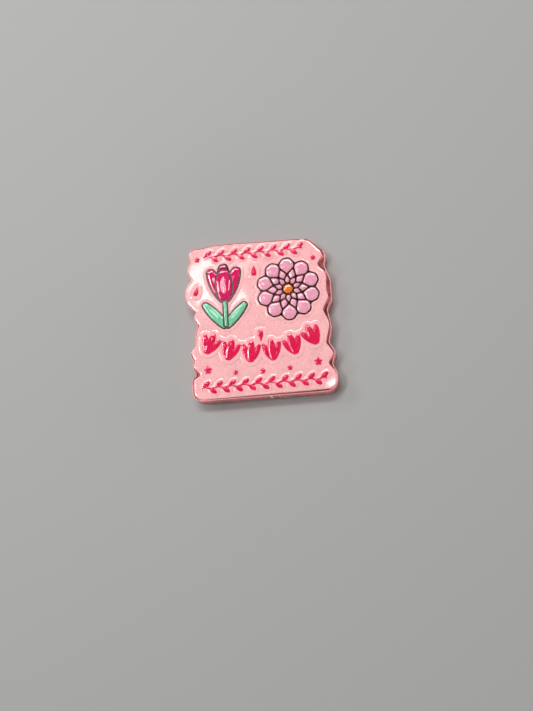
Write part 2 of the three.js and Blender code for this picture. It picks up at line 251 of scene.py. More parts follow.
def petal(
    length: float,
    width: float,
    belly: float = 0.5,
    foot: float | None = None,
    tip: float | None = None,
) -> Outline:
    """Draws a petal or leaf that points along +Y from its foot.

    Args:
        length: from foot to tip.
        width: at the widest, before its sides are rounded.
        belly: where it is widest, as a share of the length.
        foot: width of the foot.
        tip: width of the tip.

    Returns:
        The outline, its foot's middle at the origin.
    """
    foot = PETAL_FOOT * width if foot is None else foot
    tip = PETAL_TIP * width if tip is None else tip
    foot_radius, tip_radius = FOOT_BEND * foot, TIP_BEND * tip
    lower = Vector(((width - foot) / 2, belly * length))
    upper = Vector(((tip - width) / 2, (1 - belly) * length))
    lower_angle, upper_angle = math.atan2(lower.y, lower.x), math.atan2(upper.y, upper.x)
    lower_free = lower.length - foot_radius * math.tan(lower_angle / 2)
    upper_free = upper.length - tip_radius * math.tan((math.pi - upper_angle) / 2)
    bend = PETAL_FULLNESS * min(lower_free, upper_free) / math.tan((upper_angle - lower_angle) / 2)
    return symmetric(
        [(foot / 2, 0, foot_radius), (width / 2, belly * length, bend), (tip / 2, length, tip_radius)]
    )


def bar(length: float, width: float) -> Outline:
    """Draws a straight bar that points along +Y from its foot.

    Args:
        length: from end to end.
        width: of the bar.

    Returns:
        The outline.
    """
    radius = BAR_BEND * width
    return symmetric([(width / 2, 0, radius), (width / 2, length, radius)])


def leaflet(length: float, width: float) -> Outline:
    """Draws a small leaf that points along +Y from its foot.

    Args:
        length: from foot to tip.
        width: at the widest.

    Returns:
        The outline.
    """
    end, end_bend = LEAFLET_END * width, LEAFLET_END_BEND * width
    return symmetric(
        [(end, 0, end_bend), (width / 2, length / 2, LEAFLET_BEND * width), (end, length, end_bend)]
    )


def disc(radius: float, sides: int) -> Outline:
    """Draws a round outline.

    Args:
        radius: of the disc.
        sides: of the polygon that stands for it.

    Returns:
        The outline.
    """
    step = 2 * math.pi / sides
    turns = [i * step for i in range(sides)]
    return Outline(tuple((math.cos(turn) * radius, math.sin(turn) * radius, 0.0) for turn in turns))


def floret(radius: float, lobes: int = 5) -> Outline:
    """Draws a small flower with rounded lobes and sharp notches.

    Args:
        radius: of the flower.
        lobes: how many petals it has.

    Returns:
        The outline.
    """
    corners = []
    for i in range(2 * lobes):
        angle = i * math.pi / lobes
        out, bend = NOTCH if i % 2 else LOBE
        corners.append((-math.sin(angle) * out * radius, math.cos(angle) * out * radius, bend * radius))
    return Outline(tuple(corners))


def ribbon(points: list[tuple[float, float]], width: float) -> Outline:
    """Draws a band that follows a row of points from left to right.

    Args:
        points: along the band's middle.
        width: of the band.

    Returns:
        The outline.
    """
    lower = [(x, y - width / 2, 0.0) for x, y in points]
    upper = [(x, y + width / 2, 0.0) for x, y in reversed(points)]
    return Outline(tuple(lower + upper))


# Solids


@dataclass(frozen=True)
class Rise:
    """How a raised piece climbs: an upright wall, a rounded shoulder, then a pillowed crown.

    Attributes:
        wall: height of the wall.
        shoulder: steps of (distance in from the last, height gained).
        crown: steps of (share of the outline's size, height gained).
    """

    wall: float
    shoulder: tuple[tuple[float, float], ...] = ()
    crown: tuple[tuple[float, float], ...] = ()


PILLOW = Rise(
    0.06,
    ((0.03, 0.06), (0.05, 0.045), (0.08, 0.04), (0.12, 0.032), (0.25, 0.046)),
    ((0.55, 0.02), (0.25, 0.007)),
)
SOFT = Rise(0.06, ((0.03, 0.05), (0.05, 0.045), (0.08, 0.036), (0.15, 0.028)), ((0.5, 0.016), (0.2, 0.008)))
SLIM = Rise(0.12, ((0.03, 0.06), (0.05, 0.04), (0.1, 0.03)))
MARK = Rise(0.18, ((0.04, 0.06), (0.06, 0.05), (0.08, 0.035), (0.13, 0.025)), ((0.4, 0.01),))
BANK = Rise(0.02, ((0.05, 0.04), (0.08, 0.035), (0.26, 0.048)))
PRINT_RIM = Rise(0.07, ((0.03, 0.05), (0.06, 0.04), (0.1, 0.03), (0.17, 0.03)))
KEYLINE = Rise(0.06, ((0.03, 0.03), (0.05, 0.01)))
VINE_STEM = Rise(0.1, ((0.04, 0.06), (0.06, 0.04)))
VEIN = Rise(0.14, ((0.03, 0.04), (0.05, 0.02)))
CUTTER = Rise(1.0)
DOME_SHARE = 0.75  # share of its half width that a domed piece's shoulder takes, at most
NO_INSET = 1e-7  # metres, an inset that only adds a ring of faces
LEVEL = 1e-7  # metres between the heights of a level edge's ends, at most
CORNER_STEPS = 6  # steps in each rounded corner of the ink
EDGE_STEPS = 8  # steps in each rounded corner of the cut edge and the print's edge
RIM_STEPS = 3  # steps across a sheet's rounded rims


def raised(outline: Outline, foot: float, rise: Rise, segments: int = CORNER_STEPS) -> bmesh.types.BMesh:
    """Makes a closed solid from an outline.

    Args:
        outline: its plan.
        foot: height of its underside.
        rise: its profile.
        segments: steps in each rounded corner.

    Returns:
        The solid, its faces turned outwards.
    """
    mesh = bmesh.new()
    base = outline.trace(mesh, foot, segments)
    made = bmesh.ops.extrude_face_region(mesh, geom=[base])["geom"]
    top = next(item for item in made if isinstance(item, bmesh.types.BMFace))
    bmesh.ops.translate(mesh, verts=top.verts[:], vec=(0, 0, rise.wall * MM))
    bmesh.ops.recalc_face_normals(mesh, faces=mesh.faces[:])
    if not outline.starlike():
        for inward, upward in rise.shoulder:
            bmesh.ops.inset_individual(
                mesh, faces=[top], thickness=inward * MM, depth=upward * MM, use_even_offset=True
            )
        return mesh
    middle, half = outline.extent()
    reach = sum(inward for inward, _ in rise.shoulder)
    ease = min(1.0, DOME_SHARE * min(half) / reach) if reach else 1.0
    sizes = []
    size = half.copy()
    for inward, upward in rise.shoulder:
        size = size - Vector((inward, inward)) * ease
        sizes.append((size, upward))
    sizes += [(size * share, upward) for share, upward in rise.crown]
    turn = Matrix.Rotation(math.radians(-outline.lean), 4, "Z")
    space = turn @ Matrix.Translation((-middle.x * MM, -middle.y * MM, 0))
    size = half
    for smaller, upward in sizes:
        bmesh.ops.inset_individual(mesh, faces=[top], thickness=NO_INSET, depth=upward * MM)
        factors = (smaller.x / size.x, smaller.y / size.y, 1)
        bmesh.ops.scale(mesh, verts=top.verts[:], vec=factors, space=space)
        size = smaller
    return mesh


def slab(
    outline: Outline, bottom: float, top: float, edge: float, segments: int = EDGE_STEPS
) -> bmesh.types.BMesh:
    """Makes a flat sheet whose rims are lightly rounded.

    Args:
        outline: its plan.
        bottom: height of its underside.
        top: height of its upper side.
        edge: width of the rounded rims.
        segments: steps in each rounded corner.

    Returns:
        The solid.
    """
    mesh = raised(outline, bottom, Rise(top - bottom), segments)
    rims = [line for line in mesh.edges if abs(line.verts[0].co.z - line.verts[1].co.z) < LEVEL]
    bmesh.ops.bevel(
        mesh,
        geom=rims,
        offset=edge * MM,
        offset_type="OFFSET",
        affect="EDGES",
        segments=RIM_STEPS,
        profile=0.5,
        material=-1,
    )
    return mesh


def painted(solid: bmesh.types.BMesh, place: int) -> bmesh.types.BMesh:
    """Gives all of a solid's faces one finish.

    Args:
        solid: the solid.
        place: the finish's place in the list of the piece that the solid goes into.

    Returns:
        The same solid.
    """
    for face in solid.faces:
        face.material_index = place
    return solid


def as_object(name: str, solids: list[bmesh.types.BMesh]) -> bpy.types.Object:
    """Puts solids into one object at the origin.

    Args:
        name: of the object.
        solids: its closed shells, which are freed.

    Returns:
        The object, linked to the scene.
    """
    whole = bmesh.new()
    for solid in solids:
        shell = bpy.data.meshes.new("shell")
        solid.to_mesh(shell)
        solid.free()
        whole.from_mesh(shell)
        bpy.data.meshes.remove(shell)
    mesh = bpy.data.meshes.new(name)
    whole.to_mesh(mesh)
    whole.free()
    made = bpy.data.objects.new(name, mesh)
    bpy.context.scene.collection.objects.link(made)
    return made


def combined(
    name: str, first: bmesh.types.BMesh, others: list[bmesh.types.BMesh], how: Operation
) -> bmesh.types.BMesh:
    """Joins solids into one, or cuts some out of another.

    Args:
        name: for the working objects.
        first: the solid to start from.
        others: the solids to add or to cut away.
        how: whether to add or cut.

    Returns:
        The combined solid.
    """
    target = as_object(name, [first])
    tools = [as_object(f"{name}_tool", [other]) for other in others]
    for tool in tools:
        change = target.modifiers.new("combine", "BOOLEAN")
        change.operation = how.value
        change.solver = "MANIFOLD"
        change.object = tool
    bpy.context.view_layer.update()
    graph = bpy.context.evaluated_depsgraph_get()
    result = bmesh.new()
    result.from_object(target, graph)
    for item in [target, *tools]:
        mesh = item.data
        bpy.data.objects.remove(item)
        bpy.data.meshes.remove(mesh)
    return result


# Finishes

FINE_DETAIL = 2.0  # octaves of the fine and of the slow noise, and the fine one's roughness
SLOW_DETAIL = 3.0
FINE_ROUGHNESS = 0.6
DARK_SPECKS = (0.52, 0.3)  # values of the fine noise between which dark specks fade in, none to full
LIGHT_SPECKS = (0.55, 0.75)  # and light specks
TONE_DRIFT = (0.9, 1.1)  # least and most of the factor by which the tone drifts
GLOSS_DRIFT = 0.12  # roughness that the slow noise adds at its most
GRAIN_HEIGHT = 2e-5  # metres, the heights of the bumps that stand for the grain and the slow waves
WAVE_HEIGHT = 4e-5


class Slot(Enum):
    """The material slots that the finishes belong to."""

    CLEAR = "clear_plate"
    BACK = "back_sheet"
    FACE = "printed_face"
    CRIMSON = "crimson_ink"
    ORCHID = "orchid_ink"
    MAGENTA = "magenta_ink"
    WINE = "wine_ink"
    MINT = "mint_ink"
    BLUSH = "blush_ink"
    AMBER = "amber_ink"
    BLACK = "black_ink"


def feed(tree: bpy.types.NodeTree, node: bpy.types.Node, feeds: dict[str | int, Source]) -> None:
    """Joins a node's inputs to their sources, or sets them.

    Args:
        tree: the node's tree.
        node: the node.
        feeds: for each input, by name or place, the output that drives it or its fixed value.
    """
    for place, source in feeds.items():
        if isinstance(source, bpy.types.NodeSocket):
            tree.links.new(source, node.inputs[place])
        else:
            node.inputs[place].default_value = source


def wired(
    tree: bpy.types.NodeTree, kind: str, feeds: dict[str | int, Source], **options: object
) -> bpy.types.NodeOutputs:
    """Adds a node to a tree and feeds it.

    Args:
        tree: the tree.
        kind: the node's type, without the ShaderNode that it starts with.
        feeds: for each input, by name or place, the output that drives it or its fixed value.
        options: the node's other settings.

    Returns:
        The node's outputs.
    """
    node = tree.nodes.new(f"ShaderNode{kind}")
    for option, value in options.items():
        setattr(node, option, value)
    feed(tree, node, feeds)
    return node.outputs


def speckle_group() -> bpy.types.NodeTree:
    """Makes the shared effect of printed ink: fine speckle over slow drifts of tone, and a grained gloss.

    Returns:
        The node group, made once.
    """
    found = bpy.data.node_groups.get("printed speckle")
    if found:
        return found
    tree = bpy.data.node_groups.new("printed speckle", "ShaderNodeTree")
    amounts = ("Speckle Scale", "Speckle", "Drift Scale", "Gloss", "Relief", "Wave")
    for kind, names in (("Color", ("Colour", "Shade", "Light")), ("Float", amounts)):
        for name in names:
            tree.interface.new_socket(name, in_out="INPUT", socket_type=f"NodeSocket{kind}")
    for name, kind in (("Colour", "Color"), ("Roughness", "Float"), ("Normal", "Vector")):
        tree.interface.new_socket(name, in_out="OUTPUT", socket_type=f"NodeSocket{kind}")
    entry = tree.nodes.new("NodeGroupInput").outputs
    place = wired(tree, "TexCoord", {})["Object"]
    grains = {
        "Vector": place,
        "Scale": entry["Speckle Scale"],
        "Detail": FINE_DETAIL,
        "Roughness": FINE_ROUGHNESS,
    }
    drifts = {"Vector": place, "Scale": entry["Drift Scale"], "Detail": SLOW_DETAIL}
    fine, slow = wired(tree, "TexNoise", grains)["Fac"], wired(tree, "TexNoise", drifts)["Fac"]
    colour = entry["Colour"]
    for (none, full), tint in ((DARK_SPECKS, "Shade"), (LIGHT_SPECKS, "Light")):
        fade = wired(tree, "MapRange", {"Value": fine, "From Min": none, "From Max": full})["Result"]
        share = wired(tree, "Math", {0: fade, 1: entry["Speckle"]}, operation="MULTIPLY")["Value"]
        mixed = wired(tree, "Mix", {"Factor": share, "A": colour, "B": entry[tint]}, data_type="RGBA")
        colour = mixed["Result"]
    least, most = TONE_DRIFT
    tone = wired(tree, "MapRange", {"Value": slow, "To Min": least, "To Max": most})["Result"]
    drifted = wired(
        tree, "Mix", {"Factor": 1.0, "A": colour, "B": tone}, data_type="RGBA", blend_type="MULTIPLY"
    )["Result"]
    rough = wired(tree, "Math", {0: slow, 1: GLOSS_DRIFT, 2: entry["Gloss"]}, operation="MULTIPLY_ADD")
    swell = wired(tree, "Bump", {"Height": slow, "Distance": WAVE_HEIGHT, "Strength": entry["Wave"]})
    grain = wired(
        tree,
        "Bump",
        {
            "Height": fine,
            "Distance": GRAIN_HEIGHT,
            "Strength": entry["Relief"],
            "Normal": swell["Normal"],
        },
    )
    leave = tree.nodes.new("NodeGroupOutput")
    feed(tree, leave, {"Colour": drifted, "Roughness": rough["Value"], "Normal": grain["Normal"]})
    return tree


@dataclass(frozen=True)
class Finish:
    """What every finish has.

    Attributes:
        name: of the material.
        slot: the material slot that the finish belongs to.
        colour: of the material.
        opacity: of its plain colour, where a display shows no nodes.
    """

    name: str
    slot: Slot
    colour: Colour
    opacity: ClassVar[float] = 1.0

    def wire(self, tree: bpy.types.NodeTree, shader: bpy.types.Node) -> None:
        """Adds the finish's nodes and feeds the shader.

        Args:
            tree: the material's nodes.
            shader: the material's own shader.
        """
        raise NotImplementedError

    def material(self) -> bpy.types.Material:
        """Finds the finish's material, and makes it the first time.

        Returns:
            The material.
        """
        found = bpy.data.materials.get(self.name)
        if found:
            return found
        made = bpy.data.materials.new(self.name)
        made.use_nodes = True
        made.diffuse_color = (*self.colour, self.opacity)
        self.wire(made.node_tree, made.node_tree.nodes["Principled BSDF"])
        return made


@dataclass(frozen=True)
class InkFinish(Finish):
    """Printed ink under a clear glossy coat.

    Attributes:
        shade: colour of its darker specks.
        light: colour of its paler specks, which in the outline ink are painted glints.
        speckle: strength of the specks.
        speckle_scale: specks in a metre.
        drift_scale: drifts of tone in a metre.
        gloss: roughness of the ink under the coat.
        coat: weight of the coat.
        coat_roughness: of the coat.
        coat_ior: its index of refraction.
        relief: strength of the grain's bump.
        wave: strength of the surface's slow waves.
    """

    shade: Colour
    light: Colour
    speckle: float = 0.7
    speckle_scale: float = 2900.0
    drift_scale: float = 260.0
    gloss: float = 0.4
    coat: float = 1.0
    coat_roughness: float = 0.03
    coat_ior: float = 1.6
    relief: float = 0.2
    wave: float = 0.3

    def wire(self, tree: bpy.types.NodeTree, shader: bpy.types.Node) -> None:
        """Adds the speckle and feeds the shader.

        Args:
            tree: the material's nodes.
            shader: the material's own shader.
        """
        values = {
            "Colour": (*self.colour, 1),
            "Shade": (*self.shade, 1),
            "Light": (*self.light, 1),
            "Speckle Scale": self.speckle_scale,
            "Speckle": self.speckle,
            "Drift Scale": self.drift_scale,
            "Gloss": self.gloss,
            "Relief": self.relief,
            "Wave": self.wave,
        }
        speckle = wired(tree, "Group", values, node_tree=speckle_group())
        feeds = {
            "Base Color": speckle["Colour"],
            "Roughness": speckle["Roughness"],
            "Normal": speckle["Normal"],
            "Specular IOR Level": 0.0,
            "Coat Weight": self.coat,
            "Coat Roughness": self.coat_roughness,
            "Coat IOR": self.coat_ior,
        }
        feed(tree, shader, feeds)


@dataclass(frozen=True)
class ClearFinish(Finish):
    """Polished clear acrylic.

    Attributes:
        ior: its index of refraction.
        roughness: of its surface.
        transmission: share of it that is clear.
        shine: strength of its mirror, 0.5 for acrylic that is quite clean.
        lets_light: share of the direct light that it lets through to what lies behind it.
    """

    name: str = "clear acrylic"
    slot: Slot = Slot.CLEAR
    colour: Colour = (0.97, 0.9, 0.9)
    opacity: ClassVar[float] = 0.35
    ior: float = 1.49
    roughness: float = 0.02
    transmission: float = 1.0
    shine: float = 0.5
    lets_light: float = 0.9

    def wire(self, tree: bpy.types.NodeTree, shader: bpy.types.Node) -> None:
        """Feeds the shader, and thins the shadow that the acrylic casts.

        Args:
            tree: the material's nodes.
            shader: the material's own shader.
        """
        shadow = wired(tree, "LightPath", {})["Is Shadow Ray"]
        alpha = wired(tree, "MapRange", {"Value": shadow, "To Min": 1.0, "To Max": 1.0 - self.lets_light})
        feeds = {
            "Base Color": (*self.colour, 1),
            "Roughness": self.roughness,
            "IOR": self.ior,
            "Transmission Weight": self.transmission,
            "Specular IOR Level": self.shine,
            "Alpha": alpha["Result"],
        }
        feed(tree, shader, feeds)


@dataclass(frozen=True)
class WallFinish(ClearFinish):
    """The acrylic's cut edge, coloured in bands over its height and finely fluted by the cutter. Its rose is
    a painted reflection of the rose inside seen through the edge. Its darker top band is painted shade under
    the print's edge, and its darker bottom band is painted shade at the charm's foot.

    Attributes:
        bands: height in millimetres and colour of each band, from the lowest: rose for the painted
            reflection of the inside, darker at the top and the bottom for painted shade.
        flute_colour: multiplies the tint in the darker flutes.
        flute_scale: flutes in a metre.
        flute_run: how fast the flutes change over the height, as a share of how fast along the edge.
        flute_fade: values of the noise between which the darker flutes fade in, from none to full.
        flute_depth: strength of their bump.
    """

    name: str = "clear acrylic wall"
    roughness: float = 0.08
    transmission: float = 0.3
    shine: float = 0.15
    # Painted light and shade: the rose bands paint in the inside seen through the edge, and the dark bands
    # at 0.5 and 3.3 mm paint the shade at the foot and under the print.
    bands: tuple[tuple[float, Colour], ...] = (
        (0.5, (0.62, 0.08, 0.1)),
        (0.75, (1.0, 0.29, 0.29)),
        (1.7, (1.0, 0.33, 0.33)),
        (2.0, (0.92, 0.26, 0.28)),
        (2.3, (1.0, 0.37, 0.38)),
        (2.9, (1.0, 0.36, 0.37)),
        (3.3, (0.68, 0.17, 0.19)),
    )
    flute_colour: Colour = (0.74, 0.6, 0.61)
    flute_scale: float = 3600.0
    flute_run: float = 0.03
    flute_fade: tuple[float, float] = (0.6, 0.3)
    flute_depth: float = 0.5

    def wire(self, tree: bpy.types.NodeTree, shader: bpy.types.Node) -> None:
        """Adds the bands and the flutes, and feeds the shader.

        Args:
            tree: the material's nodes.
            shader: the material's own shader.
        """
        super().wire(tree, shader)
        place = wired(tree, "TexCoord", {})["Object"]
        level = wired(tree, "SeparateXYZ", {"Vector": place})["Z"]
        height = wired(tree, "MapRange", {"Value": level, "From Max": LAYERS.plate * MM})["Result"]
        ramp = tree.nodes.new("ShaderNodeValToRGB")
        feed(tree, ramp, {"Fac": height})
        stops = ramp.color_ramp.elements
        for z, _ in self.bands[1:-1]:
            stops.new(z / LAYERS.plate)
        for stop, (z, tint) in zip(stops, self.bands):
            stop.position = z / LAYERS.plate
            stop.color = (*tint, 1)
        run = wired(tree, "Mapping", {"Vector": place, "Scale": (1, 1, self.flute_run)})["Vector"]
        flutes = wired(tree, "TexNoise", {"Vector": run, "Scale": self.flute_scale})["Fac"]
        none, full = self.flute_fade
        share = wired(tree, "MapRange", {"Value": flutes, "From Min": none, "From Max": full})["Result"]
        fluted = wired(
            tree,
            "Mix",
            {"Factor": share, "A": ramp.outputs["Color"], "B": (*self.flute_colour, 1)},
            data_type="RGBA",
            blend_type="MULTIPLY",
        )
        bump = wired(
            tree, "Bump", {"Height": flutes, "Distance": GRAIN_HEIGHT, "Strength": self.flute_depth}
        )
        feed(tree, shader, {"Base Color": fluted["Result"], "Normal": bump["Normal"]})


GROUND = InkFinish(
    "pink ground",
    Slot.FACE,
    (0.94, 0.48, 0.485),
    (0.86, 0.36, 0.38),
    (1.0, 0.6, 0.6),
    speckle=0.8,
    coat_roughness=0.04,
    wave=0.7,
)
HALO = InkFinish(
    "pink halo",
    Slot.FACE,
    (0.94, 0.46, 0.47),
    (0.86, 0.36, 0.38),
    (1.0, 0.58, 0.58),
    speckle=0.8,
    coat=0.35,
    coat_roughness=0.2,
)
CRIMSON = InkFinish("crimson ink", Slot.CRIMSON, (0.75, 0.01, 0.077), (0.5, 0.004, 0.05), (0.85, 0.06, 0.14))
ORCHID = InkFinish("orchid ink", Slot.ORCHID, (0.83, 0.35, 0.46), (0.7, 0.24, 0.35), (0.92, 0.5, 0.58))
MAGENTA = InkFinish("magenta ink", Slot.MAGENTA, (0.66, 0.012, 0.117), (0.5, 0.006, 0.09), (0.75, 0.06, 0.2))
WINE = InkFinish("wine ink", Slot.WINE, (0.5, 0.004, 0.1), (0.36, 0.002, 0.07), (0.6, 0.03, 0.15))
MINT = InkFinish("mint ink", Slot.MINT, (0.2, 0.57, 0.35), (0.13, 0.44, 0.26), (0.34, 0.7, 0.48))
BLUSH = InkFinish("blush ink", Slot.BLUSH, (0.97, 0.26, 0.39), (0.9, 0.2, 0.3), (1.0, 0.36, 0.48))
AMBER = InkFinish("amber ink", Slot.AMBER, (0.84, 0.19, 0.03), (0.7, 0.12, 0.02), (0.92, 0.3, 0.08))
# The outline ink's paler specks are gold: painted glints, where the glossy dark lines catch the light.
BLACK = InkFinish(
    "outline ink",
    Slot.BLACK,
    (0.02, 0.012, 0.009),
    (0.008, 0.005, 0.004),
    (0.62, 0.34, 0.12),
    coat=0.5,
    coat_roughness=0.12,
)
# The rose is partly the back's own tint and partly painted shade. It is kept dark for the dim inside seen
# through the clear border and for the dark line at the sheet's foot.
ROSE = InkFinish(
    "rose back",
    Slot.BACK,
    (0.5, 0.17, 0.18),
    (0.14, 0.05, 0.06),
    (0.78, 0.38, 0.37),
    speckle=1.0,
    speckle_scale=900.0,
    coat=0.6,
    coat_roughness=0.1,
)
SALMON = InkFinish(
    "salmon backing",
    Slot.BACK,
    (0.9, 0.4, 0.38),
    (0.7, 0.22, 0.2),
    (0.95, 0.55, 0.52),
    speckle_scale=800.0,
    coat=0.0,
)
CLEAR = ClearFinish()
WALL = WallFinish()
# Pale salmon for the plate's rounded rims: a painted highlight, the pale line of light that a rim catches.
RIM_SHEEN = ClearFinish("rim sheen acrylic", colour=(1.0, 0.44, 0.45), roughness=0.25, transmission=0.1, shine=0.3)
FROST = ClearFinish("frosted acrylic", colour=(0.92, 0.6, 0.48), roughness=0.5, transmission=0.1, shine=0.3)


def dress(
    name: str, solids: list[bmesh.types.BMesh], *finishes: Finish, crease: float = 38.0
) -> bpy.types.Object:
    """Makes a finished piece that stands for the CAD node of the same name.

    Args:
        name: of the node, with which the piece's own name starts.
        solids: its closed shells.
        finishes: its materials, in the order of the faces' material indices.
        crease: angle past which an edge stays sharp, in degrees.

    Returns:
        The piece.
    """
    made = as_object(f"{name}_piece", solids)
    mesh = made.data
    for finish in finishes:
        mesh.materials.append(finish.material())
    mesh.set_sharp_from_angle(angle=math.radians(crease))
    flat = LARGE_FACE * MM * MM
    mesh.polygons.foreach_set("use_smooth", [face.area < flat for face in mesh.polygons])
    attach(made, "root")
    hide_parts(name)
    LOG.info("%s: %d faces", name, len(mesh.polygons))
    return made


# The charm's layers

CUT_EDGE = Outline(
    (
        (-16.45, -18.17, 2.2), (17.1, -18.42, 2.8), (17.1, -14.15, 2.0), (16.15, -12.1, 0.9),
        (17.05, -9.45, 1.1), (15.72, -7.0, 0.9), (16.55, -3.7, 3.0), (15.85, 0.65, 1.1),
        (17.0, 2.75, 1.2), (17.1, 7.35, 4.0), (15.8, 11.15, 1.4), (16.5, 13.9, 2.2),
        (12.55, 17.8, 2.4), (9.0, 18.05, 6.0), (0.2, 18.22, 6.0), (-3.8, 18.4, 6.0),
        (-9.8, 18.4, 3.0), (-12.9, 17.95, 1.0), (-16.05, 18.05, 1.9), (-15.65, 14.6, 1.5),
        (-16.5, 12.55, 2.0), (-15.5, 10.65, 0.8), (-18.45, 6.45, 4.6), (-14.75, 2.65, 0.6),
        (-15.45, 1.25, 1.2), (-14.5, -0.5, 0.5), (-15.05, -2.05, 0.8), (-15.4, -5.15, 1.0),
        (-16.65, -7.15, 0.9), (-15.9, -8.75, 0.8), (-16.2, -10.25, 1.2), (-15.3, -12.05, 1.0),
        (-16.5, -13.25, 0.9),
    )
)
PRINT_EDGE = Outline(
    (
        (-16.05, -17.9, 2.0), (16.8, -17.8, 1.9), (16.85, -14.15, 1.8), (15.15, -11.85, 0.7),
        (16.65, -9.65, 0.9), (14.95, -7.1, 0.7), (16.15, -2.75, 3.0), (14.75, 0.75, 0.7),
        (16.3, 3.35, 1.6), (15.85, 5.45, 6.0), (16.1, 9.45, 1.8), (14.05, 11.25, 0.8),
        (15.75, 13.9, 1.2), (12.55, 17.35, 1.2), (9.0, 17.75, 6.0), (0.2, 17.95, 6.0),
        (-3.8, 18.15, 6.0), (-9.9, 18.15, 3.0), (-12.9, 17.7, 0.5), (-15.75, 17.8, 1.5),
        (-15.35, 14.65, 0.8), (-16.2, 12.75, 1.5), (-15.05, 10.6, 0.4), (-18.1, 6.55, 4.0),
        (-14.45, 2.65, 0.5), (-15.25, 1.35, 1.0), (-14.05, -0.45, 0.5), (-14.75, -2.05, 0.8),
        (-15.15, -5.45, 0.6), (-16.35, -6.85, 0.9), (-15.5, -8.65, 0.5), (-16.0, -10.15, 0.9),
        (-14.2, -12.1, 0.5), (-16.05, -13.25, 0.8),
    )
)


@dataclass
class Plate:
    """The clear acrylic and the tinted sheet on its back.

    Attributes:
        outline: the cut edge.
        panel: edge of the paler panel printed on the back sheet; round it the rose is darker, partly by
            painted shade.
        edge: width of the softened rims.
        sheet_edge: width of the back sheet's rims.
        nibs: x, half the width and reach of each small nib that the cutter left on the lower edge.
        lower_edge: y below which a face belongs to the lower edge.
        rim_slope: upright share of its normal past which a face belongs to a rim.
        far: share of its level normal that points along +Y, past which a rim is a far one and stays clear.
        crease: angle past which the sheets' edges stay sharp, in degrees.
    """

    outline: Outline = CUT_EDGE
    panel: Outline = PRINT_EDGE
    edge: float = 0.18
    sheet_edge: float = 0.06
    nibs: tuple[tuple[float, float, float], ...] = ((1.5, 0.26, 0.14), (3.4, 0.1, 0.06))
    lower_edge: float = -18.0
    rim_slope: float = 0.1
    far: float = 0.6
    crease: float = 50.0

    def nibbed(self) -> Outline:
        """Adds the nibs to the cut edge, whose first side is the lower one.

        Returns:
            The outline with its nibs.
        """
        (left, low, _), (right, high, _) = self.outline.corners[:2]
        ridges: list[Corner] = []
        for middle, half, reach in self.nibs:
            for x, out in ((middle - half, 0.0), (middle, reach), (middle + half, 0.0)):
                ridges.append((x, low + (high - low) * (x - left) / (right - left) - out, 0.0))
        return Outline((self.outline.corners[0], *ridges, *self.outline.corners[1:]))

    def finish_of(self, face: bmesh.types.BMFace) -> Finish:
        """Chooses a face's finish by where it lies and where it looks.

        Args:
            face: one face of the clear plate.

        Returns:
            The finish.
        """
        middle = face.calc_center_median() / MM
        upright = abs(face.normal.z)
        if upright > FLAT:
            return CLEAR
        if middle.y < self.lower_edge and any(abs(middle.x - x) < half for x, half, _ in self.nibs):
            return FROST
        if upright > self.rim_slope and middle.z > LAYERS.sheet + 2 * self.edge:
            # Rims that don't face far along +Y take the pale salmon finish, a painted highlight along the
            # rim; far rims stay clear.
            return CLEAR if face.normal.y > self.far * face.normal.xy.length else RIM_SHEEN
        return WALL

    def build(self) -> list[bpy.types.Object]:
        """Makes both sheets.

        Returns:
            The pieces.
        """
        clears, backs = (CLEAR, WALL, RIM_SHEEN, FROST), (ROSE, SALMON)
        clear = slab(self.nibbed(), LAYERS.sheet, LAYERS.plate, self.edge)
        for face in clear.faces:
            face.material_index = clears.index(self.finish_of(face))
        back = slab(self.outline, 0.0, LAYERS.sheet + LAYERS.bite, self.sheet_edge)
        panel = raised(self.panel, LAYERS.sheet, Rise(2 * LAYERS.bite))
        return [
            dress("acrylic_plate", [clear], *clears, crease=self.crease),
            dress("back_sheet", [back, painted(panel, backs.index(SALMON))], *backs, crease=self.crease),
        ]


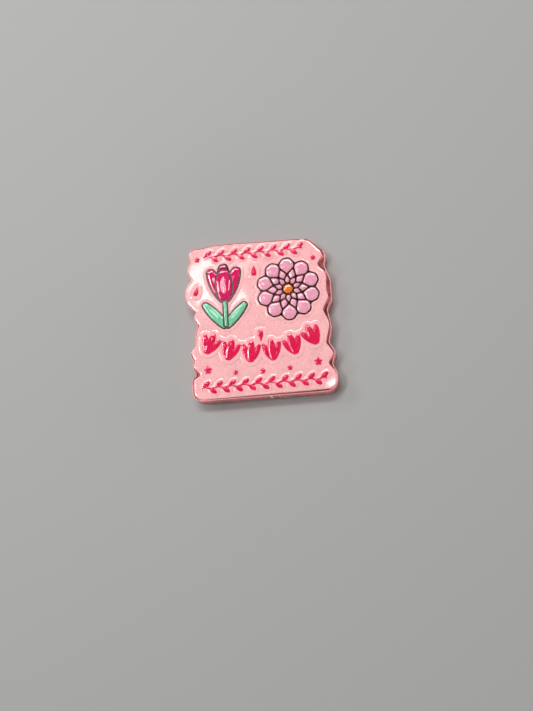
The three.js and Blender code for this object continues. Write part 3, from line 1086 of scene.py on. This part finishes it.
@dataclass
class Blossom:
    """The layered round flower.

    Attributes:
        x: of its middle.
        y: of its middle.
        petals: in each ring.
        rings: names of the rings, from the middle out.
        radii: each ring's petals start at one of them, are widest at the next and end at the one after.
        shoulder: radius of the outer petals' shoulders.
        tip: half the width of the outer petals' flat tips.
        belly_bend: rounding of a petal's widest place, as a share of its radius.
        foot_bend: rounding of a petal's foot.
        peak_bend: rounding of an inner petal's point.
        shoulder_bend: rounding of the outer petals' shoulders.
        tip_bend: rounding of the corners of their tips.
        gap: between two petals.
        button: radius of the middle.
        button_sides: of the polygon that stands for it.
    """

    x: float = 7.15
    y: float = 6.2
    petals: int = 10
    rings: tuple[str, ...] = ("heart", "middle", "outer")
    radii: tuple[float, ...] = (1.4, 2.3, 3.5, 5.1, 7.3)
    shoulder: float = 6.25
    tip: float = 0.8
    belly_bend: float = 0.2
    foot_bend: float = 0.4
    peak_bend: float = 0.4
    shoulder_bend: float = 1.2
    tip_bend: float = 1.0
    gap: float = 0.36
    button: float = 1.05
    button_sides: int = 32

    def beside(self, radius: float, bend: float) -> Corner:
        """Finds a corner on the line between two petals, to the right of the one that points up."""
        angle = math.pi / self.petals
        return math.sin(angle) * radius, math.cos(angle) * radius, bend

    def cell(self, ring: int) -> Outline:
        """Draws the cell that a petal fills, which shares its sides with the cells round it.

        Args:
            ring: the petal's ring, from 0.

        Returns:
            The outline, pointing up from the blossom's middle at the origin.
        """
        foot, belly, tip = self.radii[ring : ring + 3]
        innermost, outermost = ring == 0, ring == len(self.rings) - 1
        right = [self.beside(belly, self.belly_bend * belly)]
        if innermost:
            right.insert(0, self.beside(foot, self.foot_bend))
        if outermost:
            right += [self.beside(self.shoulder, self.shoulder_bend), (self.tip, tip, self.tip_bend)]
        left = [(-x, y, bend) for x, y, bend in reversed(right)]
        bottom = [] if innermost else [(0.0, foot, self.foot_bend)]
        top = [] if outermost else [(0.0, tip, self.peak_bend)]
        return Outline((*bottom, *right, *top, *left))

    def edge(self, reach: float) -> Outline:
        """Draws the edge round the outer petals.

        Args:
            reach: how far it runs outside their ink.

        Returns:
            The outline.
        """
        step = 360 / self.petals
        notch = Outline(((0.0, self.shoulder, 0.0),))
        out, bend = self.radii[-1], self.tip_bend
        tips = Outline(((self.tip, out, bend), (-self.tip, out, bend)))
        corners: list[Corner] = []
        for i in range(self.petals):
            corners += notch.placed(0, 0, (i - 0.5) * step).corners + tips.placed(0, 0, i * step).corners
        return Outline(tuple(corners)).grown(reach - self.gap / 2).placed(self.x, self.y)

    def build(self) -> list[bpy.types.Object]:
        """Makes the outline, the rings and the button.

        Returns:
            The pieces.
        """
        outline = raised(self.edge(KEYLINE_REACH), LAYERS.halo - LAYERS.bite, KEYLINE)
        made = [dress("blossom_outline", [outline], BLACK)]
        foot = LAYERS.keyline - LAYERS.bite
        for ring, name in enumerate(self.rings):
            shape = self.cell(ring).grown(-self.gap / 2)
            for i in range(self.petals):
                place = shape.placed(0, 0, (i + ring / 2) * 360 / self.petals).placed(self.x, self.y)
                solid = raised(place, foot, PILLOW)
                made.append(dress(f"blossom_{name}_petal_{i + 1}", [solid], ORCHID))
        button = raised(disc(self.button, self.button_sides).placed(self.x, self.y), foot, PILLOW)
        made.append(dress("blossom_button", [button], AMBER))
        return made


@dataclass
class Tulip:
    """The tulip with its stem, leaves and veins.

    Attributes:
        x: of the flower's foot.
        y: of the flower's foot.
        stem: length and width.
        front: length and width of the front petal, and where it is widest, as a share of the length.
        sides: name, length, width and lean of the side petals.
        side_belly: where a side petal is widest, as a share of its length.
        back: length and width of the petal behind, and where it is widest.
        leaves: name, length, width and lean.
        veins: name, x, y, length and lean, from the flower's foot.
        vein_width: of each vein.
        vein_sink: how far a vein starts below the petal's top.
        cutter_drop: how far the cutters reach below the ink's foot.
    """

    x: float = -7.7
    y: float = 4.9
    stem: tuple[float, float] = (6.2, 0.7)
    front: tuple[float, float, float] = (7.2, 5.2, 0.45)
    sides: tuple[tuple[str, float, float, float], ...] = (("left", 8.1, 4.2, 24), ("right", 8.1, 4.2, -24))
    side_belly: float = 0.55
    back: tuple[float, float, float] = (8.5, 4.0, 0.6)
    leaves: tuple[tuple[str, float, float, float], ...] = (("left", 7.6, 3.1, 41), ("right", 7.0, 2.9, -43))
    veins: tuple[tuple[str, float, float, float, float], ...] = (
        ("left", -1.05, 2.1, 2.6, 9),
        ("middle", 0.0, 1.5, 4.1, 0),
        ("right", 1.05, 2.1, 2.6, -9),
    )
    vein_width: float = 0.34
    vein_sink: float = 0.12
    cutter_drop: float = 0.2

    def front_outline(self) -> Outline:
        """Draws the front petal."""
        return petal(*self.front).placed(self.x, self.y)

    def side_outlines(self) -> list[Outline]:
        """Draws the side petals, whole."""
        shapes = [(petal(length, width, self.side_belly), lean) for _, length, width, lean in self.sides]
        return [shape.placed(self.x, self.y, lean) for shape, lean in shapes]

    def back_outline(self) -> Outline:
        """Draws the petal behind, whole."""
        return petal(*self.back).placed(self.x, self.y)

    def stem_outline(self) -> Outline:
        """Draws the stem, whole."""
        length, width = self.stem
        return bar(length, width).placed(self.x, self.y - length)

    def leaf_outlines(self) -> list[Outline]:
        """Draws the leaves, whole."""
        foot = self.y - self.stem[0]
        return [petal(long, wide).placed(self.x, foot, lean) for _, long, wide, lean in self.leaves]

    def outlines(self) -> list[Outline]:
        """Lists every part's outline."""
        return [
            self.front_outline(),
            *self.side_outlines(),
            self.back_outline(),
            self.stem_outline(),
            *self.leaf_outlines(),
        ]

    def cut(self, name: str, outline: Outline, over: list[Outline]) -> bmesh.types.BMesh:
        """Makes a part that stops short of the parts over it.

        Args:
            name: of the part.
            outline: of the part, whole.
            over: outlines of the parts in front.

        Returns:
            The solid.
        """
        foot = LAYERS.keyline - LAYERS.bite
        solid = raised(outline, foot, SLIM if outline == self.stem_outline() else PILLOW)
        bottom = foot - self.cutter_drop
        cutters = [raised(other.grown(KEYLINE_REACH), bottom, CUTTER) for other in over]
        return combined(name, solid, cutters, Operation.DIFFERENCE)

    def build(self) -> list[bpy.types.Object]:
        """Makes the dark outline, the petals, the stem, the leaves and the veins.

        Returns:
            The pieces.
        """
        bottom = LAYERS.halo - LAYERS.bite
        rims = [raised(outline.grown(KEYLINE_REACH), bottom, KEYLINE) for outline in self.outlines()]
        outline = combined("tulip_outline", rims[0], rims[1:], Operation.UNION)
        front, sides, stem = self.front_outline(), self.side_outlines(), self.stem_outline()
        foot = LAYERS.keyline - LAYERS.bite
        made = [
            dress("tulip_outline", [outline], BLACK),
            dress("tulip_front_petal", [raised(front, foot, PILLOW)], MAGENTA),
        ]
        for (name, *_), side in zip(self.sides, sides):
            node = f"tulip_{name}_petal"
            made.append(dress(node, [self.cut(node, side, [front])], MAGENTA))
        behind = self.cut("tulip_back_petal", self.back_outline(), [front, *sides])
        made.append(dress("tulip_back_petal", [behind], WINE))
        made.append(dress("tulip_stem", [self.cut("tulip_stem", stem, [front])], MINT))
        for (name, *_), leaf in zip(self.leaves, self.leaf_outlines()):
            node = f"tulip_{name}_leaf"
            made.append(dress(node, [self.cut(node, leaf, [stem])], MINT))
        made += [self.vein(*vein) for vein in self.veins]
        return made

    def vein(self, name: str, x: float, y: float, length: float, lean: float) -> bpy.types.Object:
        """Makes one pale vein on the front petal.

        Args:
            name: of the vein.
            x: of its foot, from the flower's foot.
            y: of its foot, from the flower's foot.
            length: of the vein.
            lean: to the left, in degrees.

        Returns:
            The piece.
        """
        outline = bar(length, self.vein_width).placed(self.x + x, self.y + y, lean)
        solid = raised(outline, LAYERS.petal - self.vein_sink, VEIN)
        return dress(f"tulip_{name}_vein", [solid], BLUSH)


@dataclass
class Garland:
    """The sagging row of large three-petalled buds.

    Attributes:
        x: of the arc's middle.
        y: of the arc's middle.
        radius: of the arc.
        buds: how many.
        step: between buds, in degrees.
        height: of a bud's front petal.
        front: width of the front petal.
        side: width of a side petal.
        side_length: of a side petal.
        side_belly: where a side petal is widest, as a share of its length.
        lean: of the side petals, in degrees.
        spread: of the side petals' feet.
        lift: of the side petals' feet.
    """

    x: float = 0.1
    y: float = 18.6
    radius: float = 26.4
    buds: int = 6
    step: float = 10.6
    height: float = 5.1
    front: float = 2.7
    side: float = 2.15
    side_length: float = 4.3
    side_belly: float = 0.58
    lean: float = 24.0
    spread: float = 0.23
    lift: float = 0.31

    def outlines(self) -> list[list[Outline]]:
        """Draws the buds.

        Returns:
            For each bud, the outlines of its front petal and its two side petals.
        """
        side = petal(self.side_length, self.side, self.side_belly)
        shapes = [
            petal(self.height, self.front),
            side.placed(-self.spread, self.lift, self.lean),
            side.placed(self.spread, self.lift, -self.lean),
        ]
        drawn = []
        for i in range(self.buds):
            lean = (i - (self.buds - 1) / 2) * self.step
            x = self.x + math.sin(math.radians(lean)) * self.radius
            y = self.y - math.cos(math.radians(lean)) * self.radius
            drawn.append([shape.placed(0, -self.height / 2).placed(x, y, lean) for shape in shapes])
        return drawn

    def build(self) -> list[bpy.types.Object]:
        """Makes the buds.

        Returns:
            The pieces.
        """
        foot = LAYERS.halo - LAYERS.bite
        made = []
        for i, (front, *sides) in enumerate(self.outlines()):
            node = f"garland_bud_{i + 1}"
            raised_sides = [raised(side, foot, SOFT) for side in sides]
            bud = combined(node, raised(front, foot, PILLOW), raised_sides, Operation.UNION)
            made.append(dress(node, [bud], CRIMSON))
        return made


@dataclass
class Vine:
    """A wavy stem with leaves that spring from its two sides in turn.

    Attributes:
        node: the CAD node that it stands for.
        start: x of its first end.
        end: x of its last end.
        y: of its middle.
        leaves: how many.
        width: of the stem.
        swing: of the stem's wave.
        leaf: length of a leaf.
        leaf_width: of a leaf.
        lean: of the leaves, in degrees.
        steps: along the stem, for each leaf.
        first: where the first leaf springs, as a share of the distance between two leaves.
    """

    node: str
    start: float
    end: float
    y: float
    leaves: int
    width: float = 0.46
    swing: float = 0.22
    leaf: float = 1.9
    leaf_width: float = 1.3
    lean: float = 38.0
    steps: int = 6
    first: float = 0.25

    def pitch(self) -> float:
        """Gives the distance between two leaves."""
        return (self.end - self.start) / self.leaves

    def wave(self, x: float) -> float:
        """Gives the y of the stem's middle at x."""
        return self.y + self.swing * math.sin(math.pi * (x - self.start) / self.pitch())

    def stem_outline(self, width: float) -> Outline:
        """Draws the stem as a band of some width.

        Args:
            width: of the band.

        Returns:
            The outline.
        """
        count = self.leaves * self.steps
        places = [self.start + (self.end - self.start) * i / count for i in range(count + 1)]
        return ribbon([(x, self.wave(x)) for x in places], width)

    def leaf_outlines(self) -> list[Outline]:
        """Draws the leaves.

        Returns:
            Their outlines, from the first end on.
        """
        drawn = []
        for i in range(self.leaves):
            x = self.start + self.pitch() * (i + self.first)
            lean = ALONG + (-self.lean if i % 2 else self.lean)
            drawn.append(leaflet(self.leaf, self.leaf_width).placed(x, self.wave(x), lean))
        return drawn

    def build(self) -> list[bpy.types.Object]:
        """Makes the vine.

        Returns:
            The piece.
        """
        foot = LAYERS.halo - LAYERS.bite
        stem = raised(self.stem_outline(self.width), foot, VINE_STEM)
        leaves = [raised(outline, foot, SOFT) for outline in self.leaf_outlines()]
        vine = combined(self.node, stem, leaves, Operation.UNION)
        return [dress(self.node, [vine], CRIMSON)]


@dataclass
class PrintedFace:
    """The opaque face: its ground, the low halos round the ink, and the small marks.

    Attributes:
        outline: the face's edge.
        drops: x, y, length, width and lean of each drop.
        florets: x, y and radius of each small flower.
        halos: outlines of the halos.
        drop_belly: where a drop is widest, as a share of its length.
        drop_foot: width of its foot, as a share of its width.
        drop_tip: width of its tip, as a share of its width.
    """

    outline: Outline = PRINT_EDGE
    drops: tuple[tuple[float, float, float, float, float], ...] = (
        (-0.55, 11.3, 2.4, 1.5, 0),
        (-14.3, 7.6, 2.2, 1.3, -20),
        (0.1, -4.2, 2.6, 1.6, 180),
    )
    florets: tuple[tuple[float, float, float], ...] = (
        (-13.75, 15.2, 0.9),
        (13.35, 13.1, 0.8),
        (-12.6, -11.1, 1.25),
        (12.9, -11.3, 1.25),
        (-6.2, -12.2, 0.8),
        (6.4, -12.2, 0.8),
        (0.1, -12.4, 0.9),
    )
    halos: list[Outline] = field(default_factory=list)
    drop_belly: float = 0.35
    drop_foot: float = 0.6
    drop_tip: float = 0.1

    def drop_outlines(self) -> list[Outline]:
        """Draws the drops.

        Returns:
            Their outlines.
        """
        drawn = []
        for x, y, length, width, lean in self.drops:
            shape = petal(length, width, self.drop_belly, self.drop_foot * width, self.drop_tip * width)
            drawn.append(shape.placed(0, -length / 2).placed(x, y, lean))
        return drawn

    def build(self) -> list[bpy.types.Object]:
        """Makes the face with its halos and marks.

        Returns:
            The piece.
        """
        finishes = (GROUND, HALO, CRIMSON)
        foot = LAYERS.face - LAYERS.bite
        ground = raised(self.outline, LAYERS.plate - LAYERS.bite, PRINT_RIM, EDGE_STEPS)
        rims = [raised(outline, foot, BANK) for outline in self.halos]
        banks = combined("printed_halo", rims[0], rims[1:], Operation.UNION)
        for face in banks.faces:
            face.material_index = finishes.index(HALO if face.normal.z > FLAT else GROUND)
        shapes = self.drop_outlines() + [floret(radius).placed(x, y) for x, y, radius in self.florets]
        marks = [painted(raised(shape, foot, MARK), finishes.index(CRIMSON)) for shape in shapes]
        return [dress("printed_face", [ground, banks, *marks], *finishes)]


# The studio

WHITE = (1.0, 1.0, 1.0)
CREAM = (1.0, 0.97, 0.91)


@dataclass(frozen=True)
class SoftBox:
    """A rectangular light that faces the charm.

    Attributes:
        name: of the light.
        place: where it hangs, in metres.
        size: its width and height, in metres.
        power: in watts.
        colour: of its light.
    """

    name: str
    place: tuple[float, ...]
    size: tuple[float, float]
    power: float
    colour: Colour = WHITE

    def hang(self) -> None:
        """Adds the light to the scene."""
        data = bpy.data.lights.new(self.name, "AREA")
        data.shape = "RECTANGLE"
        data.size, data.size_y = self.size
        data.energy = self.power
        data.color = self.colour
        made = bpy.data.objects.new(self.name, data)
        made.location = self.place
        aim = Vector((0, 0, LAYERS.plate / 2 * MM))
        made.rotation_euler = (Vector(self.place) - aim).to_track_quat("Z", "Y").to_euler()
        LOG.info("light %s: %.2f W", self.name, self.power)
        bpy.context.scene.collection.objects.link(made)


@dataclass(frozen=True)
class Glare:
    """A small light that the camera sees mirrored in the face.

    Attributes:
        name: of the light.
        spot: x and y of the place on the face, in millimetres.
        size: the light's width and height, in metres.
        power: in watts.
    """

    name: str
    spot: tuple[float, float]
    size: tuple[float, float]
    power: float


@dataclass
class Studio:
    """The floor, the lights and the photograph's camera, in metres.

    Attributes:
        eye: the camera's place.
        right: the camera's own X.
        up: the camera's own Y.
        back: the camera's own Z, away from what it sees.
        lens: focal length for the sensor, in millimetres.
        sensor: its width, in millimetres.
        nearest: distance from which the camera sees.
        boxes: the large lights.
        glares: the lights mirrored in the face.
        glare_height: height of those above the face.
        sky: colour of the even light all round.
        sky_strength: of that light.
        floor_reach: half the floor's width.
        floor_colour: of the floor.
        floor_roughness: of the floor.
    """

    eye: Vector = field(default_factory=lambda: Vector((0.0394, -0.06835, 0.2934)))
    right: Vector = field(default_factory=lambda: Vector((0.9878, -0.0621, -0.143)))
    up: Vector = field(default_factory=lambda: Vector((0.0888, 0.978, 0.1888)))
    back: Vector = field(default_factory=lambda: Vector((0.1282, -0.1992, 0.9715)))
    lens: float = 66.1
    sensor: float = 36.0
    nearest: float = 0.005
    boxes: tuple[SoftBox, ...] = (
        SoftBox("key left", (-0.37, 0.1, 0.66), (0.26, 0.1), 2.1),
        SoftBox("key top", (-0.12, 0.42, 0.66), (0.4, 0.11), 3.0),
        SoftBox("low left", (-0.5, 0.4, 0.4), (0.3, 0.1), 1.2),
        SoftBox("corner", (0.15, 0.42, 0.66), (0.1, 0.12), 0.75),
        SoftBox("fill", (0.1, -0.75, 0.11), (1.0, 0.08), 2.6),
        SoftBox("side", (0.75, 0.2, 0.1), (0.5, 0.1), 1.8),
    )
    glares: tuple[Glare, ...] = (
        Glare("window", (-10.4, 7.8), (0.026, 0.036), 0.027),
        Glare("window edge", (-2.6, 12.6), (0.016, 0.01), 0.0016),
        Glare("glint", (15.7, -17.0), (0.0036, 0.0016), 0.0009),
        Glare("glint edge", (16.25, -16.4), (0.0012, 0.0032), 0.0006),
    )
    glare_height: float = 0.45
    sky: Colour = (0.95, 0.97, 1.0)
    sky_strength: float = 0.09
    floor_reach: float = 0.9
    floor_colour: Colour = (0.36, 0.36, 0.35)
    floor_roughness: float = 0.75

    def camera(self) -> None:
        """Sets up the camera."""
        data = bpy.data.cameras.new("photograph")
        data.lens = self.lens
        data.sensor_width = self.sensor
        data.clip_start = self.nearest
        made = bpy.data.objects.new("photograph", data)
        turn = Matrix((self.right, self.up, self.back)).transposed().to_4x4()
        made.matrix_world = Matrix.Translation(self.eye) @ turn
        bpy.context.scene.collection.objects.link(made)
        bpy.context.scene.camera = made

    def mirrored(self, glare: Glare) -> SoftBox:
        """Works out the light that the camera sees mirrored in the face.

        Args:
            glare: the light, by the place on the face where it shows.

        Returns:
            The light, by the place where it hangs.
        """
        x, y = glare.spot
        spot = Vector((x * MM, y * MM, LAYERS.face * MM))
        away = spot - self.eye
        away.z = -away.z
        place = spot + away * (self.glare_height / away.z)
        return SoftBox(glare.name, tuple(place), glare.size, glare.power, CREAM)

    def lights(self) -> None:
        """Hangs the lights and sets the even light round them."""
        for box in (*self.boxes, *map(self.mirrored, self.glares)):
            box.hang()
        world = bpy.data.worlds.new("studio")
        world.use_nodes = True
        tree = world.node_tree
        feed(tree, tree.nodes["Background"], {"Color": (*self.sky, 1), "Strength": self.sky_strength})
        bpy.context.scene.world = world
        bpy.context.scene.view_settings.view_transform = "Standard"

    def floor(self) -> None:
        """Lays the plain pale floor."""
        mesh = bmesh.new()
        bmesh.ops.create_grid(mesh, x_segments=1, y_segments=1, size=self.floor_reach)
        made = as_object("floor", [mesh])
        paint = bpy.data.materials.new("pale floor")
        paint.use_nodes = True
        tree = paint.node_tree
        look = {"Base Color": (*self.floor_colour, 1), "Roughness": self.floor_roughness}
        feed(tree, tree.nodes["Principled BSDF"], look)
        made.data.materials.append(paint)

    def build(self) -> None:
        """Sets the whole studio."""
        self.camera()
        self.lights()
        self.floor()


def main() -> None:
    """Builds the charm and its studio."""
    logging.basicConfig(level=logging.INFO, format="%(message)s")
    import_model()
    blossom, tulip, garland = Blossom(), Tulip(), Garland()
    vines = [
        Vine("top_vine", start=-12.2, end=11.0, y=15.65, leaves=15),
        Vine("bottom_vine", start=-14.2, end=14.6, y=-15.3, leaves=19),
    ]
    face = PrintedFace()
    buds = [outline for bud in garland.outlines() for outline in bud]
    haloed = [*tulip.outlines(), *buds, *face.drop_outlines()]
    face.halos = [blossom.edge(HALO_REACH), *(outline.grown(HALO_REACH) for outline in haloed)]
    for vine in vines:
        face.halos += [leaf.grown(VINE_HALO_REACH) for leaf in vine.leaf_outlines()]
        face.halos.append(vine.stem_outline(vine.width + 2 * VINE_HALO_REACH))
    for assembly in (Plate(), face, blossom, tulip, garland, *vines):
        pieces = assembly.build()
        LOG.info("%s: %d pieces", type(assembly).__name__, len(pieces))
    Studio().build()


if __name__ == "__main__":
    main()
